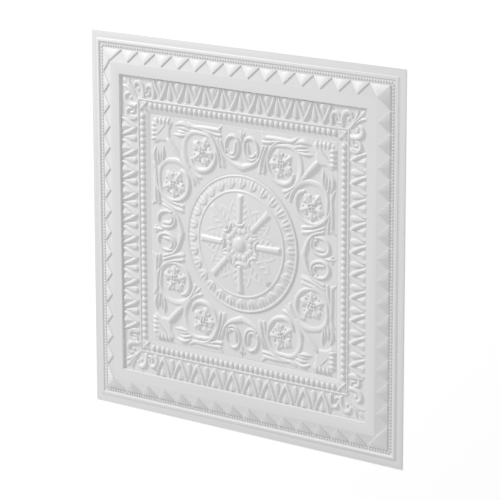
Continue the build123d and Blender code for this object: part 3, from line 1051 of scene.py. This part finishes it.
@dataclass
class CornerBlocks(Skin):
    """The four small crossed blocks where the rows of beads meet."""

    cell: float = 0.6
    near: float = 184.2
    far: float = 200.4

    def height(self, x: np.ndarray, y: np.ndarray) -> np.ndarray:
        """Height of a block's face: a low pad with a cross of ridges on it.

        Args:
            x: Places along X.
            y: Places along Y.

        Returns:
            The height at each place.
        """
        near, far = self.near, self.far
        middle = (near + far) / 2
        reach = np.minimum(np.minimum(x - near, far - x), np.minimum(y - near, far - y))
        pad = 1.1 * np.clip(reach / 1.6, 0.0, 1.0)
        cross = [
            Rib([(near + 1.5, near + 1.5, 1.6, 1.6), (far - 1.5, far - 1.5, 1.6, 1.6)]),
            Rib([(near + 1.0, far - 1.0, 1.9, 2.2), (far - 1.0, near + 1.0, 1.9, 2.2)]),
            leaf((middle, middle), (far - 1.6, middle), 1.7, 1.2),
            leaf((middle, middle), (middle, far - 1.6), 1.7, 1.2),
            Dome(middle, middle, 2.6, 2.4),
        ]
        ground = np.interp(np.minimum(x, y), (STEPS.field_half, STEPS.channel_in),
                           (STEPS.field_height, STEPS.channel_height))
        return ground - 0.3 + pad + highest(cross, x, y)

    def build(self, material: bpy.types.Material) -> bpy.types.Object:
        """Make one block and repeat it at the four corners of the channel.

        Args:
            material: The finish of the sheet.

        Returns:
            The finished piece.
        """
        work = self.lattice(self.near, self.far, self.near, self.far, self.cell)
        self.raise_front(work, self.height)
        bmesh.ops.solidify(work, geom=work.faces[:], thickness=0.3)
        bmesh.ops.recalc_face_normals(work, faces=work.faces)
        block = work.verts[:] + work.edges[:] + work.faces[:]
        for side in range(1, 4):
            copied(work, block, Matrix.Rotation(side * math.pi / 2, 4, "Z"))
        return settle("corner_blocks", work, material, None)


@dataclass
class ToothRow:
    """The raised pointed teeth on the frame's slope."""

    spaces: int = 15
    rise: float = 2.35
    middle_rise: float = 2.2
    corner_rise: float = 2.1
    tip_at: float = 258.8
    foot_at: float = 257.8
    base_at: float = 275.9
    blunt: float = 2.0
    sink: float = 0.5
    row_half: float = 255.0
    gap: float = 0.2
    inset: float = 0.9
    waist: float = 0.6
    corner_shoulder: float = 10.0
    soften: float = 0.25

    def slope(self, distance: float) -> float:
        """Height of the slope's face at a distance from the middle.

        Args:
            distance: How far out from the tile's middle.

        Returns:
            The height there.
        """
        s = STEPS
        grade = (s.plain_height - s.groove_height) / (s.groove_in - s.plain_out)
        return s.groove_height + grade * (s.groove_in - distance)

    def tooth(self, foot: Line,
              face: list[tuple[float, float, float]]) -> Work:
        """One tooth as a closed hull with softened ridges.

        Args:
            foot: Corners of its outline on the slope, as (along, distance).
            face: Corners of its raised face, as (along, distance, height over the slope).

        Returns:
            The tooth as mesh work.
        """
        work = bmesh.new()
        for along, distance in foot:
            work.verts.new((along, distance, self.slope(distance) - self.sink))
        for along, distance, lift in face:
            work.verts.new((along, distance, self.slope(distance) + lift))
        bmesh.ops.convex_hull(work, input=work.verts)
        bmesh.ops.recalc_face_normals(work, faces=work.faces)
        ridges = [e for e in work.edges if any(v.co.z > self.slope(v.co.y) + 1 for v in e.verts)]
        bmesh.ops.bevel(work, geom=ridges, offset=self.soften, offset_type="OFFSET", segments=2,
                        profile=0.5, affect="EDGES", material=-1)
        return work

    def side_teeth(self) -> list[Work]:
        """The teeth of the side along +Y, with the mitred half teeth at its two corners.

        Returns:
            Each tooth as mesh work.
        """
        pitch = 2 * self.row_half / self.spaces
        half = pitch / 2 - self.gap
        top = self.base_at - 0.6
        face_half = half - self.inset
        waist_at = self.tip_at + self.waist * (top - self.tip_at)
        teeth = []
        for k in range(1, self.spaces):
            x = (k - self.spaces / 2) * pitch
            teeth.append(self.tooth(
                [(x - half, self.base_at), (x + half, self.base_at), (x, self.foot_at)],
                [(x - face_half, top, self.corner_rise), (x + face_half, top, self.corner_rise),
                 (x - self.waist * face_half, waist_at, self.middle_rise),
                 (x + self.waist * face_half, waist_at, self.middle_rise),
                 (x, top, self.middle_rise), (x, self.tip_at, self.rise)]))
        corner = self.row_half - half
        for s in (-1, 1):
            teeth.append(self.tooth(
                [(s * corner, self.base_at), (s * self.base_at, self.base_at),
                 (s * self.foot_at, self.foot_at), (s * (self.foot_at - self.blunt), self.foot_at)],
                [(s * (corner + self.inset), top, self.corner_rise), (s * top, top, self.middle_rise),
                 (s * (corner + self.corner_shoulder), top, self.middle_rise),
                 (s * self.tip_at, self.tip_at, self.rise),
                 (s * (self.tip_at - self.blunt), self.tip_at, self.rise)]))
        return teeth

    def build(self, material: bpy.types.Material) -> bpy.types.Object:
        """Make the teeth of one side and repeat them round the tile.

        Args:
            material: The finish of the sheet.

        Returns:
            The finished piece.
        """
        work = bmesh.new()
        for one in self.side_teeth():
            mesh = bpy.data.meshes.new("tooth")
            one.to_mesh(mesh)
            one.free()
            work.from_mesh(mesh)
            bpy.data.meshes.remove(mesh)
        row = work.verts[:] + work.edges[:] + work.faces[:]
        for side in range(1, 4):
            copied(work, row, Matrix.Rotation(side * math.pi / 2, 4, "Z"))
        return settle("slope_teeth", work, material, 30.0)


@dataclass
class Studio:
    """The pale floor, the white surround, the lamps and the camera."""

    camera_place: tuple[float, float, float] = (2.59628, 0.99869, 3.26254)
    camera_aim: tuple[float, float, float] = (0.01369, -0.00791, 0.0)
    camera_roll: float = 0.153
    lens: float = 202.26
    fill: float = 0.69
    key_power: float = 115.0
    key_place: tuple[float, float, float] = (-2.73, 2.87, 1.94)
    key_size: float = 1.26
    floor_shade: float = 0.8
    floor_lift: float = 0.10

    def camera(self) -> None:
        """Place the camera as the photograph was taken."""
        data = bpy.data.cameras.new("view")
        data.lens = self.lens
        data.sensor_width = 36.0
        data.clip_end = 50.0
        view = bpy.data.objects.new("view", data)
        place, aim = Vector(self.camera_place), Vector(self.camera_aim)
        back = (place - aim).normalized()
        right = Vector((0, 1, 0)).cross(back).normalized()
        up = back.cross(right)
        turn = Matrix((right, up, back)).transposed().to_4x4()
        view.matrix_world = (Matrix.Translation(place) @ turn
                             @ Matrix.Rotation(-math.radians(self.camera_roll), 4, "Z"))
        bpy.context.scene.collection.objects.link(view)
        bpy.context.scene.camera = view

    def seen_white(self, tree: bpy.types.NodeTree, dark: float, white: float) -> bpy.types.NodeSocket:
        """Mix a value with white for rays that show the surround itself.

        Args:
            tree: The node tree of the floor or the world.
            dark: Shade used for light on the object.
            white: Level seen by the camera, in gloss and through glass.

        Returns:
            The socket with the mixed colour.
        """
        nodes, links = tree.nodes, tree.links
        path = nodes.new("ShaderNodeLightPath")
        seen = path.outputs["Is Camera Ray"]
        for name in ("Is Glossy Ray", "Is Transmission Ray"):
            most = nodes.new("ShaderNodeMath")
            most.operation = "MAXIMUM"
            links.new(seen, most.inputs[0])
            links.new(path.outputs[name], most.inputs[1])
            seen = most.outputs[0]
        mix = nodes.new("ShaderNodeMix")
        mix.data_type = "RGBA"
        mix.inputs["A"].default_value = (dark, dark, dark, 1.0)
        mix.inputs["B"].default_value = (white, white, white, 1.0)
        links.new(seen, mix.inputs["Factor"])
        return mix.outputs["Result"]

    def surround(self) -> None:
        """A white world that lights the tile from all sides at a plain level."""
        world = bpy.data.worlds.new("surround")
        world.use_nodes = True
        nodes, links = world.node_tree.nodes, world.node_tree.links
        shade = self.seen_white(world.node_tree, self.fill, 1.0)
        links.new(shade, nodes["Background"].inputs["Color"])
        bpy.context.scene.world = world

    def floor(self) -> None:
        """A wide pale floor just under the tile, white where no shadow falls."""
        work = bmesh.new()
        bmesh.ops.create_grid(work, x_segments=4, y_segments=4, size=12.0)
        bmesh.ops.translate(work, vec=(0, 0, -0.0002), verts=work.verts)
        mesh = bpy.data.meshes.new("floor")
        work.to_mesh(mesh)
        work.free()
        material = bpy.data.materials.new("pale_floor")
        material.use_nodes = True
        nodes, links = material.node_tree.nodes, material.node_tree.links
        nodes.remove(nodes["Principled BSDF"])
        paint = nodes.new("ShaderNodeBsdfDiffuse")
        links.new(self.seen_white(material.node_tree, self.floor_shade, 1.0), paint.inputs["Color"])
        glow = nodes.new("ShaderNodeEmission")
        links.new(self.seen_white(material.node_tree, 0.0, self.floor_lift), glow.inputs["Color"])
        both = nodes.new("ShaderNodeAddShader")
        links.new(paint.outputs["BSDF"], both.inputs[0])
        links.new(glow.outputs["Emission"], both.inputs[1])
        links.new(both.outputs["Shader"], nodes["Material Output"].inputs["Surface"])
        mesh.materials.append(material)
        ground = bpy.data.objects.new("floor", mesh)
        bpy.context.scene.collection.objects.link(ground)

    def lamps(self) -> None:
        """One large soft lamp from the tile's upper left."""
        data = bpy.data.lights.new("key", "AREA")
        data.shape = "DISK"
        data.size = self.key_size
        data.energy = self.key_power
        lamp = bpy.data.objects.new("key", data)
        place = Vector(self.key_place)
        lamp.matrix_world = Matrix.Translation(place) @ place.to_track_quat("Z", "Y").to_matrix().to_4x4()
        bpy.context.scene.collection.objects.link(lamp)

    def build(self) -> None:
        """Set the whole stage."""
        self.camera()
        self.surround()
        self.floor()
        self.lamps()
        bpy.context.scene.view_settings.view_transform = "Standard"


def main() -> None:
    """Load the frame, build the tile piece by piece, and set the stage."""
    logging.basicConfig(level=logging.INFO, format="%(message)s")
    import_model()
    Studio().build()
    material = PvcFinish().make()
    surface = TileSurface()
    edge = Moulding("frame_moulding", outer_line()).build(material)
    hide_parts(NODE)
    Moulding("bead_channel", inner_line()).build(material)
    for side in range(4):
        LeafBand(side=side, surface=surface).build(material)
    for quarter in range(4):
        FieldQuarter(quarter=quarter, surface=surface).build(material)
    Medallion(surface=surface).build(material)
    CornerBlocks().build(material)
    ToothRow().build(material)
    BeadRow("bead_row", 194.6, 4.5, 5.3, 3.4, STEPS.channel_height, 177.0, 37).build(material)
    BeadRow("pearl_row", 279.6, 2.1, 2.1, 1.7, STEPS.groove_height, 276.4, 112, 8).build(material)


if __name__ == "__main__":
    main()
